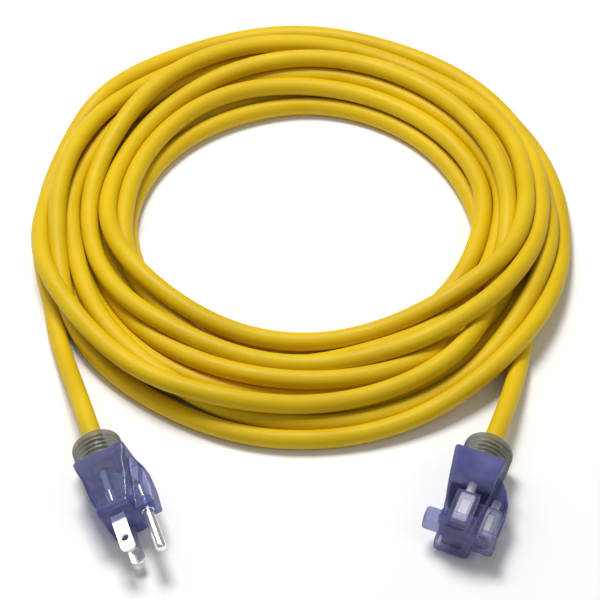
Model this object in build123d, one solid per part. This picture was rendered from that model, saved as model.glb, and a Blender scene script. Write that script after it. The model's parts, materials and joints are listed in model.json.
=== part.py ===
from build123d import *
import math
import os

# A grounded, heavy-duty extension cord that lies on a floor: a loose round coil of three-wire cord, a
# moulded plug on one end and a moulded locking connector on the other.
# Millimetres. +Z is up, +X is to the right and -Y is to the front, where both ends point.
# Every end piece is drawn in its end's own frame, then placed: X comes out of the face, Y runs from
# the blades towards the ground pin, and Z is the end's flat side.

# ---- cord ----
CORD_DIAMETER = 8.6
CONDUCTOR_DIAMETER = 2.8
STRAND_DIAMETER = 2.1
CONDUCTOR_GAP = 0.04
COIL_OUTER_RADIUS = 125.8
COIL_INNER_RADIUS = 78.2
COIL_HEIGHT = 26.5
COIL_SHOULDER_RADIUS = 11.0

# ---- 15 A grounded blades, pin and slots ----
BLADE_SPACING = 12.7
BLADE_WIDTH = 6.35
BLADE_THICKNESS = 1.52
BLADE_REACH = 18.0
BLADE_HOLE_DIAMETER = 3.6
BLADE_HOLE_FROM_FACE = 11.9
GROUND_OFFSET = 11.9
GROUND_PIN_DIAMETER = 4.8
GROUND_PIN_REACH = 20.8
GROUND_SHANK_DIAMETER = GROUND_PIN_DIAMETER + 0.6
LINE_SLOT_WIDTH = BLADE_WIDTH + 0.65
NEUTRAL_SLOT_WIDTH = BLADE_WIDTH + 2.05
SLOT_HEIGHT = BLADE_THICKNESS + 0.48
GROUND_HOLE_DIAMETER = GROUND_PIN_DIAMETER + 0.8

# ---- moulded bodies ----
FACE_WIDTH = 14.0
FACE_HEIGHT = 23.7
LOBE_HEIGHT = 10.3
LOBE_REACH = 17.0
PLUG_LENGTH = 31.5
CONNECTOR_LENGTH = 40.0
EDGE_ROUND = 1.2
CORNER_ROUND = 1.5
COLLAR_DIAMETER = 22.0
COLLAR_LENGTH = 13.0
COLLAR_RIM_ROUND = 3.0
COLLAR_GROOVES = 3
COLLAR_GROOVE_WIDTH = 1.1
COLLAR_GROOVE_DEPTH = 0.9
FACE_WALL = 1.5

# ---- crimps and inner mouldings ----
BARREL_DIAMETER = 3.8
BARREL_LENGTH = 6.0
TANG_LENGTH = 7.0
JACKET_INSET = 3.5
CORE_MARGIN = 1.4

# ---- spring contacts ----
LEAF_THICKNESS = 0.4
LEAF_WIDTH = 6.0
LEAF_LENGTH = 15.0
CONTACT_FRONT = 3.6
GROUND_SLEEVE_WALL = 0.5
GROUND_SLEEVE_CLEARANCE = 0.05
GROUND_SLEEVE_SLIT = 1.0
POCKET_CLEARANCE = 0.3
CORE_LID = 0.9
WINDOW_FRAME = 3.0
WINDOW_WIDTH = 4.4

# ---- locking mechanism ----
BUTTON_LENGTH = 7.2
BUTTON_HEIGHT = 8.4
BUTTON_PROUD = 7.8
BUTTON_FRONT = 1.8
BUTTON_TRAVEL = 3.0
BUTTON_CLEARANCE = 0.3
BUTTON_ROUND = 1.5
LATCH_WIDTH = 3.0
LATCH_THICKNESS = 0.8
LATCH_LEVEL = 3.0
LATCH_SWING = 9.5
LATCH_EYE_RADIUS = 1.2
LATCH_PIN_DIAMETER = 1.5
LATCH_PIN_CLEARANCE = 0.05
LATCH_ARM = 6.1
NOSE_LENGTH = 2.0
SPRING_WIRE = 0.4
SPRING_RADIUS = 0.9
SPRING_TURNS = 5

# ---- how the ends lie ----
PLUG_PLACE = dict(x=-76.1, y=-178.3, yaw=18.1, pitch=-2.0, roll=19.3)
CONNECTOR_PLACE = dict(x=63.9, y=-186.1, yaw=-19.8, pitch=2.0, roll=-4.7)

# The cord's two free stretches, from under the coil to the first point in line with each collar.
PLUG_ROUTE = [(-118.0, -25.0), (-115.6, -44.0), (-111.6, -62.5), (-106.8, -80.5), (-101.2, -98.5)]
PLUG_ROUTE_RISES = [0.0, 0.0, 0.0, 0.7, 5.1]
CONNECTOR_ROUTE = [(108.6, -28.0), (105.2, -46.5), (101.4, -65.0), (97.6, -83.5), (93.3, -101.5)]
CONNECTOR_ROUTE_RISES = [0.0, 0.0, 0.0, 0.3, 3.1]
COLLAR_LEAD = 17.0

CORD_NODES = ("cord_coil", "plug_tail", "connector_tail")

# ---- values worked out from the above ----
CORD_RADIUS = CORD_DIAMETER / 2
BLADE_LEVEL = BLADE_SPACING / 2
CONDUCTOR_CIRCLE = (CONDUCTOR_DIAMETER + CONDUCTOR_GAP) / math.sqrt(3)
PINCH_GAP = BLADE_THICKNESS * 0.8
CONTACT_BACK = CONTACT_FRONT + LEAF_LENGTH
POCKET_INNER = BLADE_LEVEL - BLADE_THICKNESS / 2 - LEAF_THICKNESS - POCKET_CLEARANCE
POCKET_OUTER = BLADE_LEVEL + BLADE_THICKNESS / 2 + LEAF_THICKNESS + POCKET_CLEARANCE
LATCH_PIVOT = BLADE_HOLE_FROM_FACE + LATCH_ARM
NOSE_TIP = BLADE_LEVEL
LATCH_TIP = BUTTON_FRONT + 1.4
BUTTON_BACK = BUTTON_FRONT + BUTTON_LENGTH
BUTTON_INNER = -FACE_WIDTH / 2 + 1.6
SPRING_PLACE = 8.4


def block(x, y, z):
    """A box from its (low, high) pairs."""
    (x0, x1), (y0, y1), (z0, z1) = x, y, z
    centre = ((x0 + x1) / 2, (y0 + y1) / 2, (z0 + z1) / 2)
    return Pos(*centre) * Box(x1 - x0, y1 - y0, z1 - z0)


def rod(radius, x, y=0.0, z=0.0):
    """A cylinder along X between the pair x."""
    return Pos((x[0] + x[1]) / 2, y, z) * Rot(Y=90) * Cylinder(radius, x[1] - x[0])


def slab(outline, height, corner, edge):
    """An outline in the XY plane, its corners rounded, made a slab about Z = 0 with rounded rims."""
    face = make_face(Polyline(*outline, close=True))
    face = fillet(face.vertices(), corner)
    body = extrude(face, height / 2, both=True)
    rims = body.faces().filter_by(Axis.Z).edges()
    return fillet(rims, edge)


def moulding(length, left, right, lobe):
    """The outer shape of an end: the block that holds the blades, and the thinner ground lobe."""
    flank = [(x, y) for x, y in left] + [(x, y) for x, y in reversed(right)]
    body = slab(flank, FACE_HEIGHT, CORNER_ROUND, EDGE_ROUND)
    lobe_outline = [(0, 0)] + lobe + [(lobe[-1][0], 0)]
    body += slab(lobe_outline, LOBE_HEIGHT, CORNER_ROUND, EDGE_ROUND)
    return body & block((-length, 0), (-40, 40), (-40, 40))


def plug_moulding():
    """The plug's outer shape: straight at the face, flared to finger grips at the back."""
    half = FACE_WIDTH / 2
    ahead, behind = 3.0, -PLUG_LENGTH
    left = [(ahead, -half), (-5.5, -half - 0.5), (-10.0, -half - 1.3), (-21.0, -half - 1.9),
            (-26.5, -half - 3.0), (behind, -half - 3.6)]
    right = [(ahead, half), (-5.5, half + 1.6), (-15.0, half + 3.8), (-22.0, half + 4.6),
             (-27.0, half + 6.4), (behind, half + 6.8)]
    lobe = [(ahead, LOBE_REACH), (-9.0, LOBE_REACH + 0.8), (-19.0, LOBE_REACH + 0.3),
            (-25.0, LOBE_REACH - 2.2), (behind + 1.5, LOBE_REACH - 4.4)]
    return moulding(PLUG_LENGTH, left, right, lobe)


def connector_moulding():
    """The connector's outer shape: as the plug's, longer, with a waist behind the ground lobe."""
    half = FACE_WIDTH / 2
    ahead, behind = 3.0, -CONNECTOR_LENGTH
    left = [(ahead, -half), (-7.0, -half - 0.2), (-12.0, -half - 1.5), (-22.0, -half - 2.6),
            (-31.0, -half - 4.6), (behind, -half - 6.2)]
    right = [(ahead, half), (-10.0, half + 1.4), (-20.0, half + 2.6), (-28.0, half + 2.2),
             (-34.0, half + 2.6), (behind, half + 3.4)]
    lobe = [(ahead, LOBE_REACH), (-14.0, LOBE_REACH + 0.4), (-22.0, LOBE_REACH + 0.2),
            (-29.0, LOBE_REACH - 2.8), (-35.0, LOBE_REACH - 6.6)]
    return moulding(CONNECTOR_LENGTH, left, right, lobe)


def collar(length):
    """The short ribbed strain relief behind a body, turned about the cord."""
    back, front = -length - COLLAR_LENGTH, -length
    radius = COLLAR_DIAMETER / 2
    ring = rod(radius, (back, front))
    rim = ring.edges().filter_by(GeomType.CIRCLE).sort_by(Axis.X)[0]
    ring = fillet(rim, COLLAR_RIM_ROUND)
    clear = COLLAR_LENGTH - COLLAR_RIM_ROUND
    step = clear / (COLLAR_GROOVES + 0.5)
    for index in range(COLLAR_GROOVES):
        middle = front - step * (index + 0.75)
        band = (middle - COLLAR_GROOVE_WIDTH / 2, middle + COLLAR_GROOVE_WIDTH / 2)
        ring -= rod(radius + 1, band) - rod(radius - COLLAR_GROOVE_DEPTH, band)
    return ring - rod(CORD_RADIUS, (back - 1, front + 1))


def barrel(back_of_tang, y, z):
    """A crimp barrel around the stripped strands."""
    span = (back_of_tang - BARREL_LENGTH, back_of_tang)
    return rod(BARREL_DIAMETER / 2, span, y, z) - rod(STRAND_DIAMETER / 2, span, y, z)


def blade(level):
    """A flat blade with a rounded tip and a latch hole, its tang and crimp barrel inside the plug."""
    tip = BLADE_WIDTH * 0.32
    outline = Polyline((-TANG_LENGTH, -BLADE_WIDTH / 2), (BLADE_REACH, -BLADE_WIDTH / 2),
                       (BLADE_REACH, BLADE_WIDTH / 2), (-TANG_LENGTH, BLADE_WIDTH / 2), close=True)
    face = make_face(outline)
    face = fillet(face.vertices().sort_by(Axis.X)[-2:], tip)
    face -= Pos(BLADE_HOLE_FROM_FACE, 0) * Circle(BLADE_HOLE_DIAMETER / 2)
    plate = Pos(0, 0, level) * extrude(face, BLADE_THICKNESS / 2, both=True)
    return plate + barrel(-TANG_LENGTH, 0, level)


def ground_pin():
    """The round ground pin with a domed tip, a wider moulded-in shank and a crimp barrel."""
    pin = rod(GROUND_PIN_DIAMETER / 2, (0, GROUND_PIN_REACH), GROUND_OFFSET)
    tip = pin.edges().filter_by(GeomType.CIRCLE).sort_by(Axis.X)[-1]
    pin = fillet(tip, GROUND_PIN_DIAMETER * 0.36)
    pin += rod(GROUND_SHANK_DIAMETER / 2, (-TANG_LENGTH, 0), GROUND_OFFSET)
    return pin + barrel(-TANG_LENGTH, GROUND_OFFSET, 0)


def strands(back_of_tang):
    """The three stripped copper ends in their barrels, as one group."""
    places = [(0, BLADE_LEVEL), (0, -BLADE_LEVEL), (GROUND_OFFSET, 0)]
    span = (back_of_tang - BARREL_LENGTH, back_of_tang)
    return Compound(children=[rod(STRAND_DIAMETER / 2, span, y, z) for y, z in places])


def conductors(start, jacket_front, back):
    """The three insulated conductors, from the barrels into the jacket, keyed by their circuit."""
    radius = CONDUCTOR_CIRCLE
    cosine, sine = radius * math.cos(math.radians(120)), radius * math.sin(math.radians(120))
    ends = dict(line=((0, -BLADE_LEVEL), (cosine, -sine)), neutral=((0, BLADE_LEVEL), (cosine, sine)),
                ground=((GROUND_OFFSET, 0), (radius, 0)))
    lead, bend = 1.6, 2.6
    made = {}
    for circuit, ((y0, z0), (y1, z1)) in ends.items():
        path = FilletPolyline((start, y0, z0), (start - lead, y0, z0), (jacket_front + lead, y1, z1),
                              (back, y1, z1), radius=bend)
        section = Plane(origin=(start, y0, z0), z_dir=(-1, 0, 0)) * Circle(CONDUCTOR_DIAMETER / 2)
        made[circuit] = sweep(section, path=path)
    return made


def joined(pieces):
    """One solid from several that overlap or touch."""
    total = pieces[0]
    for piece in pieces[1:]:
        total += piece
    return total


def without(piece, others):
    """A moulding with the pieces that it is moulded around taken out of it."""
    for other in others:
        piece -= other
    return piece


def plug_pieces():
    """Every piece of the plug, in the plug's own frame."""
    back = -PLUG_LENGTH - COLLAR_LENGTH
    jacket_front = -PLUG_LENGTH + JACKET_INSET
    wires = conductors(-TANG_LENGTH - BARREL_LENGTH, jacket_front, back)
    pieces = dict(line_blade=blade(-BLADE_LEVEL), neutral_blade=blade(BLADE_LEVEL), ground_pin=ground_pin(),
                  plug_strands=strands(-TANG_LENGTH))
    metal = list(pieces.values())
    half_width = BLADE_WIDTH / 2 + CORE_MARGIN
    half_height = BLADE_LEVEL + BLADE_THICKNESS / 2 + CORE_MARGIN
    depth = (-TANG_LENGTH + 0.8, -FACE_WALL)
    core = block(depth, (-half_width, half_width), (-half_height, half_height))
    core += rod(GROUND_PIN_DIAMETER / 2 + CORE_MARGIN, depth, GROUND_OFFSET)
    core += block(depth, (0, GROUND_OFFSET), (-CORE_MARGIN * 2, CORE_MARGIN * 2))
    pieces["plug_core"] = without(core, metal[:3])
    pieces["plug_jacket"] = without(rod(CORD_RADIUS, (back, jacket_front)), wires.values())
    for circuit, wire in wires.items():
        pieces[f"plug_{circuit}_wire"] = wire
    inside = metal[:3] + [core, rod(CORD_RADIUS, (back, jacket_front))] + list(wires.values())
    hollow = [rod(STRAND_DIAMETER / 2, (-TANG_LENGTH - BARREL_LENGTH, -TANG_LENGTH), y, z)
              for y, z in ((0, BLADE_LEVEL), (0, -BLADE_LEVEL), (GROUND_OFFSET, 0))]
    pieces["plug_body"] = without(plug_moulding(), inside + hollow)
    pieces["plug_collar"] = collar(PLUG_LENGTH)
    return pieces


def leaf(points, sign):
    """One bent leaf of a contact: a strip of even thickness through (distance behind face, level)."""
    half = LEAF_THICKNESS / 2
    outer = [(-x, 0, sign * (z + half)) for x, z in points]
    inner = [(-x, 0, sign * (z - half)) for x, z in reversed(points)]
    face = make_face(Polyline(*outer, *inner, close=True))
    return extrude(face, LEAF_WIDTH / 2, both=True)


def blade_contact(sign):
    """A folded spring contact: two leaves that pinch a blade, a web behind them, a crimp barrel."""
    gap = BLADE_THICKNESS / 2 + LEAF_THICKNESS / 2
    pinch = PINCH_GAP / 2 + LEAF_THICKNESS / 2
    low, high = BLADE_LEVEL - gap, BLADE_LEVEL + gap
    stations = [(CONTACT_FRONT, gap), (CONTACT_FRONT + 2.4, pinch), (CONTACT_FRONT + 4.6, gap),
                (CONTACT_BACK, gap)]
    inner = leaf([(x, BLADE_LEVEL - offset) for x, offset in stations], sign)
    outer = leaf([(x, BLADE_LEVEL + offset) for x, offset in stations], sign)
    window = (-BLADE_HOLE_FROM_FACE - 1.6, -BLADE_HOLE_FROM_FACE + 2.1)
    inner -= block(window, (-LATCH_WIDTH / 2 - 0.2, LATCH_WIDTH / 2 + 0.2), (-40, 40))
    level = sorted((sign * (low - LEAF_THICKNESS / 2), sign * (high + LEAF_THICKNESS / 2)))
    web = block((-CONTACT_BACK - LEAF_THICKNESS, -CONTACT_BACK), (-LEAF_WIDTH / 2, LEAF_WIDTH / 2), level)
    return inner + outer + web + barrel(-CONTACT_BACK - LEAF_THICKNESS, 0, sign * BLADE_LEVEL)


def ground_contact():
    """A split spring sleeve that grips the ground pin, closed behind, with a crimp barrel."""
    bore = GROUND_PIN_DIAMETER / 2 + GROUND_SLEEVE_CLEARANCE
    span = (-CONTACT_BACK, -CONTACT_FRONT)
    sleeve = rod(bore + GROUND_SLEEVE_WALL, span, GROUND_OFFSET) - rod(bore, span, GROUND_OFFSET)
    slit = (GROUND_OFFSET - GROUND_SLEEVE_SLIT / 2, GROUND_OFFSET + GROUND_SLEEVE_SLIT / 2)
    sleeve -= block((-CONTACT_BACK + 3, -CONTACT_FRONT), slit, (-6, 0))
    back = (-CONTACT_BACK - LEAF_THICKNESS, -CONTACT_BACK)
    sleeve += rod(bore + GROUND_SLEEVE_WALL, back, GROUND_OFFSET)
    return sleeve + barrel(back[0], GROUND_OFFSET, 0)


def latch(sign):
    """A latch lever: a flat arm from its eye to the button's fork, with a nose for the blade's hole."""
    low, high = LATCH_LEVEL - LATCH_THICKNESS / 2, LATCH_LEVEL + LATCH_THICKNESS / 2
    wide = (-LATCH_WIDTH / 2, LATCH_WIDTH / 2)
    arm = block((-LATCH_PIVOT, -LATCH_TIP), wide, (low, high))
    nose_x = (-BLADE_HOLE_FROM_FACE - NOSE_LENGTH / 2, -BLADE_HOLE_FROM_FACE + NOSE_LENGTH / 2)
    nose = block(nose_x, (-NOSE_LENGTH / 2, NOSE_LENGTH / 2), (low, NOSE_TIP))
    turn = Pos(-LATCH_PIVOT, 0, LATCH_LEVEL) * Rot(X=90)
    eye = turn * Cylinder(LATCH_EYE_RADIUS, LATCH_WIDTH)
    bore = turn * Cylinder(LATCH_PIN_DIAMETER / 2 + LATCH_PIN_CLEARANCE, LATCH_WIDTH + 1)
    lever = arm + nose + eye - bore
    return lever if sign > 0 else mirror(lever, Plane.XY)


def latch_pins():
    """The two pivot pins, as one group, their ends held in the core."""
    length = LATCH_WIDTH + 5.0
    pin = Rot(X=90) * Cylinder(LATCH_PIN_DIAMETER / 2, length)
    return Compound(children=[Pos(-LATCH_PIVOT, 0, level) * pin for level in (LATCH_LEVEL, -LATCH_LEVEL)])


def latch_spring():
    """A small compression spring that holds the two levers apart."""
    room = LATCH_LEVEL - LATCH_THICKNESS / 2 - SPRING_WIRE / 2 - 0.05
    path = Helix(pitch=2 * room / SPRING_TURNS, height=2 * room, radius=SPRING_RADIUS)
    start = path @ 0
    wire = Plane(origin=start, z_dir=path % 0) * Circle(SPRING_WIRE / 2)
    return Pos(-SPRING_PLACE, 0, -room) * sweep(wire, path=path, is_frenet=True)


def release_button():
    """The button that stands out of the side, with a lip that keeps it in and a fork for the levers."""
    x = (-BUTTON_BACK, -BUTTON_FRONT)
    head = block(x, (-FACE_WIDTH / 2 - BUTTON_PROUD, BUTTON_INNER), (-BUTTON_HEIGHT / 2, BUTTON_HEIGHT / 2))
    head = fillet(head.edges().filter_by(Axis.Y), BUTTON_ROUND * 0.8)
    head = fillet(head.faces().sort_by(Axis.Y)[0].edges(), BUTTON_ROUND)
    lip = block((-BUTTON_BACK - 0.8, -BUTTON_BACK + 2), (BUTTON_INNER - 1.0, BUTTON_INNER), (-2.5, 2.5))
    fork_x = (-LATCH_TIP - 2.2, -LATCH_TIP + 0.6)
    reach = -LATCH_WIDTH / 2 - 0.3
    mouth = LATCH_LEVEL + LATCH_THICKNESS / 2 + 0.15
    throat = mouth - 2.05
    outside = BUTTON_HEIGHT / 2
    fork = block(fork_x, (BUTTON_INNER, reach), (-outside, outside))
    notch = make_face(Polyline((0, reach, mouth), (0, reach - BUTTON_TRAVEL, throat),
                               (0, reach - BUTTON_TRAVEL, -throat), (0, reach, -mouth), close=True))
    fork -= Pos(fork_x[1] + 1, 0, 0) * extrude(notch, fork_x[1] - fork_x[0] + 2, dir=(-1, 0, 0))
    return head + lip + fork


def connector_core():
    """The rigid insert that holds the contacts and the lock, as one uncut block."""
    depth = (-CONTACT_BACK - LEAF_THICKNESS, -FACE_WALL)
    half_width = NEUTRAL_SLOT_WIDTH / 2 + 0.8
    half_height = POCKET_OUTER + CORE_LID
    core = block(depth, (-half_width, half_width), (-half_height, half_height))
    sleeve = GROUND_PIN_DIAMETER / 2 + GROUND_SLEEVE_CLEARANCE + GROUND_SLEEVE_WALL
    core += rod(sleeve + CORE_LID, depth, GROUND_OFFSET)
    return core + block(depth, (0, GROUND_OFFSET), (-3.0, 3.0))


def connector_cavities():
    """What the face, the core and the body leave open: slots, contact pockets, lock room, guides."""
    open_face = (-CONTACT_FRONT, 1)
    slot = SLOT_HEIGHT / 2
    window_run = (-CONTACT_BACK + WINDOW_FRAME, -CONTACT_FRONT - WINDOW_FRAME)
    cuts = []
    for sign, width in ((1, LINE_SLOT_WIDTH), (-1, NEUTRAL_SLOT_WIDTH)):
        level = sign * BLADE_LEVEL
        cuts.append(block(open_face, (-width / 2, width / 2), (level - slot, level + slot)))
        pocket = sorted((sign * POCKET_INNER, sign * POCKET_OUTER))
        span = LEAF_WIDTH / 2 + POCKET_CLEARANCE
        cuts.append(block((-CONTACT_BACK, -CONTACT_FRONT + POCKET_CLEARANCE), (-span, span), pocket))
        window = sorted((sign * (LATCH_LEVEL + 1), sign * (POCKET_INNER + 0.1)))
        nose = (-BLADE_HOLE_FROM_FACE - 1.5, -BLADE_HOLE_FROM_FACE + 2.0)
        cuts.append(block(nose, (-LATCH_WIDTH / 2, LATCH_WIDTH / 2), window))
        outside = sorted((sign * (POCKET_OUTER - 0.1), sign * (POCKET_OUTER + CORE_LID)))
        cuts.append(block(window_run, (-WINDOW_WIDTH / 2, WINDOW_WIDTH / 2), outside))
    cuts.append(rod(GROUND_HOLE_DIAMETER / 2, open_face, GROUND_OFFSET))
    sleeve = GROUND_PIN_DIAMETER / 2 + GROUND_SLEEVE_CLEARANCE + GROUND_SLEEVE_WALL
    cuts.append(rod(sleeve, (-CONTACT_BACK, -CONTACT_FRONT), GROUND_OFFSET))
    strip = (GROUND_OFFSET - sleeve * 0.55, GROUND_OFFSET + sleeve * 0.55)
    cuts.append(block(window_run, strip, (sleeve * 0.5, sleeve + CORE_LID)))
    lock_level = LATCH_LEVEL + LATCH_EYE_RADIUS + POCKET_CLEARANCE
    clear = LATCH_WIDTH / 2 + POCKET_CLEARANCE
    back = -LATCH_PIVOT - LATCH_EYE_RADIUS - 0.4
    cuts.append(block((back, -FACE_WALL - 0.6), (-clear, clear), (-lock_level, lock_level)))
    guide = BUTTON_HEIGHT / 2 + BUTTON_CLEARANCE
    x = (-BUTTON_BACK - BUTTON_CLEARANCE, -BUTTON_FRONT + BUTTON_CLEARANCE)
    cuts.append(block(x, (-FACE_WIDTH, BUTTON_INNER + BUTTON_TRAVEL + 0.3), (-guide, guide)))
    lip_room = (BUTTON_INNER - 1.0 - BUTTON_CLEARANCE, BUTTON_INNER + BUTTON_TRAVEL + 0.3)
    cuts.append(block((-BUTTON_BACK - 1.1, -BUTTON_BACK), lip_room, (-2.8, 2.8)))
    fork = (-LATCH_TIP - 2.5, -LATCH_TIP + 0.9)
    cuts.append(block(fork, (BUTTON_INNER, -LATCH_WIDTH / 2 + BUTTON_TRAVEL + 0.3), (-guide, guide)))
    return cuts


def connector_pieces():
    """Every piece of the connector, in the connector's own frame."""
    back = -CONNECTOR_LENGTH - COLLAR_LENGTH
    jacket_front = -CONNECTOR_LENGTH + JACKET_INSET
    barrel_front = -CONTACT_BACK - LEAF_THICKNESS
    wires = conductors(barrel_front - BARREL_LENGTH, jacket_front, back)
    wires["line"], wires["neutral"] = mirror(wires["line"], Plane.XY), mirror(wires["neutral"], Plane.XY)
    pieces = dict(line_contact=blade_contact(1), neutral_contact=blade_contact(-1),
                  ground_contact=ground_contact(), connector_strands=strands(barrel_front))
    metal = list(pieces.values())[:3]
    cavities = connector_cavities()
    block_of_core = connector_core()
    pins = latch_pins()
    core = without(block_of_core, metal + cavities)
    pieces["connector_core"] = without(core, pins.solids())
    jacket = rod(CORD_RADIUS, (back, jacket_front))
    pieces["connector_jacket"] = without(jacket, wires.values())
    for circuit, wire in wires.items():
        pieces[f"connector_{circuit}_wire"] = wire
    hollow = [rod(STRAND_DIAMETER / 2, (barrel_front - BARREL_LENGTH, barrel_front), y, z)
              for y, z in ((0, BLADE_LEVEL), (0, -BLADE_LEVEL), (GROUND_OFFSET, 0))]
    inside = [block_of_core] + metal + cavities + hollow + [jacket] + list(wires.values())
    pieces["connector_body"] = without(connector_moulding(), inside)
    pieces["connector_collar"] = collar(CONNECTOR_LENGTH)
    pieces.update(latch_pins=pins, upper_latch=latch(1), lower_latch=latch(-1),
                  latch_spring=latch_spring(), release_button=release_button())
    return pieces


def placing(pieces, place, body, ring):
    """Where an end lies: turned as it lies and lifted until its body or collar rests on the floor."""
    turned = Rot(Z=place["yaw"] - 90) * Rot(Y=-place["pitch"]) * Rot(X=place["roll"])
    lowest = min((turned * pieces[name]).bounding_box().min.Z for name in (body, ring))
    return Pos(place["x"], place["y"], -lowest) * turned


def tail(route, rises, end, length):
    """A free stretch of cord: straight runs with wide tangent arcs, square to the collar's back."""
    exit_point = end * Pos(-length - COLLAR_LENGTH, 0, 0)
    lead_point = end * Pos(-length - COLLAR_LENGTH - COLLAR_LEAD, 0, 0)
    points = [Vector(x, y, CORD_RADIUS + rise) for (x, y), rise in zip(route, rises)]
    points += [lead_point.position, exit_point.position]
    runs = [points[i + 1] - points[i] for i in range(len(points) - 1)]
    radii = []
    for before, after in zip(runs, runs[1:]):
        half_turn = math.radians(before.get_angle(after)) / 2
        radii.append(0.45 * min(before.length, after.length) / math.tan(half_turn))
    path = FilletPolyline(*points, radius=radii)
    section = Plane(origin=points[0], z_dir=runs[0]) * Circle(CORD_RADIUS)
    tube = sweep(section, path=path)
    expected = math.pi * CORD_RADIUS ** 2 * path.length
    print("tail radii", [round(r, 1) for r in radii], "length", round(path.length, 1),
          "volume ratio", round(tube.volume / expected, 4), "lowest", round(tube.bounding_box().min.Z, 3))
    return tube


def coil():
    """The outer shape of the whole coil: one closed ring with rounded shoulders."""
    width, height = COIL_OUTER_RADIUS - COIL_INNER_RADIUS, COIL_HEIGHT
    face = Pos(COIL_INNER_RADIUS + width / 2, height / 2) * Rectangle(width, height)
    upper = face.vertices().group_by(Axis.Y)[-1]
    face = fillet(upper, COIL_SHOULDER_RADIUS)
    lower = face.vertices().group_by(Axis.Y)[0]
    face = fillet(lower, CORD_RADIUS * 0.6)
    return revolve(Plane.XZ * face, Axis.Z)


def build():
    """Every node as a solid or a group of solids, in the row frame, and where each end lies."""
    plug, connector = plug_pieces(), connector_pieces()
    plug_end = placing(plug, PLUG_PLACE, "plug_body", "plug_collar")
    connector_end = placing(connector, CONNECTOR_PLACE, "connector_body", "connector_collar")
    nodes = {name: plug_end * piece for name, piece in plug.items()}
    nodes.update({name: connector_end * piece for name, piece in connector.items()})
    ring = coil()
    nodes["cord_coil"] = ring
    nodes["plug_tail"] = tail(PLUG_ROUTE, PLUG_ROUTE_RISES, plug_end, PLUG_LENGTH) - ring
    nodes["connector_tail"] = tail(CONNECTOR_ROUTE, CONNECTOR_ROUTE_RISES, connector_end,
                                   CONNECTOR_LENGTH) - ring
    return nodes, plug_end, connector_end


def centring(nodes):
    """The move that puts the origin on the floor, under the middle of the plug and the connector."""
    boxes = [node.bounding_box() for name, node in nodes.items() if name not in CORD_NODES]
    low = [min(box.min.X for box in boxes), min(box.min.Y for box in boxes)]
    high = [max(box.max.X for box in boxes), max(box.max.Y for box in boxes)]
    return Pos(-(low[0] + high[0]) / 2, -(low[1] + high[1]) / 2, 0)


NODES, PLUG_END, CONNECTOR_END = build()
SHIFT = centring(NODES)
os.makedirs("parts", exist_ok=True)
for node_name, node in NODES.items():
    export_step(SHIFT * node, f"parts/{node_name}.step")
    print(node_name, len(node.solids()), round(node.volume, 1), node.is_valid)
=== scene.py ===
"""Looks for a grounded extension cord in a loose coil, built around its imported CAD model."""

from __future__ import annotations

import json
import logging
import math
from dataclasses import dataclass, field
from enum import Enum

import bpy
import numpy as np
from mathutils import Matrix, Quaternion, Vector

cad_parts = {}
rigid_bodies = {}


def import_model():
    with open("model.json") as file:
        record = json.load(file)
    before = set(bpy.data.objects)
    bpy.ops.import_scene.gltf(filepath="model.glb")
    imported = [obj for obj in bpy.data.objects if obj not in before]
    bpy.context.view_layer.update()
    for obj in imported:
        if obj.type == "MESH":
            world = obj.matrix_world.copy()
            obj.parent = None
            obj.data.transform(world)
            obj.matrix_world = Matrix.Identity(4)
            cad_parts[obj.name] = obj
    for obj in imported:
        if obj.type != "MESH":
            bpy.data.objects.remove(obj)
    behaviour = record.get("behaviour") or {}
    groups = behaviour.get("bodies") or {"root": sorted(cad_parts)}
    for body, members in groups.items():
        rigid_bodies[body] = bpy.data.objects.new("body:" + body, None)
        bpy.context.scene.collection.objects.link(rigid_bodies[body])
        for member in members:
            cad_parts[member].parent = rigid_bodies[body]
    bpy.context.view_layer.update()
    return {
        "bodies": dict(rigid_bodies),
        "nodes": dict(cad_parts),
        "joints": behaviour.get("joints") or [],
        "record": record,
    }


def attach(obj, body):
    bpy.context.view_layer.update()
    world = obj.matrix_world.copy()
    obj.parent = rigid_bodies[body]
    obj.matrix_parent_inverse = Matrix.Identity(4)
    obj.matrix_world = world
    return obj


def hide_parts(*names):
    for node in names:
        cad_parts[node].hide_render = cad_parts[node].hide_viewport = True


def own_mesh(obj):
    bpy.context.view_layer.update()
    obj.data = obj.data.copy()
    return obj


LOG = logging.getLogger("extension_cord")
MM = 0.001
TINY = 1e-9
NO_CEILING = 1e3
ROOT_BODY = "cord_and_ends"

Colour = tuple[float, float, float]
Socket = bpy.types.NodeSocket


# --------------------------------------------------------------------------- frames of the ends


@dataclass(frozen=True)
class EndFrame:
    """Where an end lies: the middle of its face and its three directions, in the row frame.

    Local X comes out of the face, Y runs from the blades to the ground pin, Z is the flat side.
    """

    face: tuple[float, float, float]
    out: tuple[float, float, float]
    across: tuple[float, float, float]
    up: tuple[float, float, float]

    def place(self, points: np.ndarray) -> np.ndarray:
        """Local millimetres to row-frame metres: the face's middle plus each coordinate along its axis.

        Args:
            points: Array of shape (..., 3) in millimetres, in the end's own frame.

        Returns:
            Array of the same shape in metres, in the row frame.
        """
        axes = np.array([self.out, self.across, self.up], float)
        return np.asarray(self.face, float) + (np.asarray(points, float) * MM) @ axes

    def point(self, x: float, y: float = 0.0, z: float = 0.0) -> tuple[float, float, float]:
        """One local point in millimetres as a row-frame point in metres."""
        return tuple(float(v) for v in self.place(np.array([x, y, z])))


PLUG_FRAME = EndFrame(
    face=(-0.0719750, -0.0132440, 0.0132410),
    out=(0.31048717, -0.9499367, -0.0348995),
    across=(0.9007, 0.2823, 0.3303),
    up=(-0.3039, -0.1340, 0.9432),
)
CONNECTOR_FRAME = EndFrame(
    face=(0.0680180, -0.0210400, 0.0138860),
    out=(-0.33853157, -0.94030761, 0.0348995),
    across=(0.93674829, -0.34028943, -0.08188859),
    up=(0.0889, 0.0050, 0.9960),
)


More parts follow.
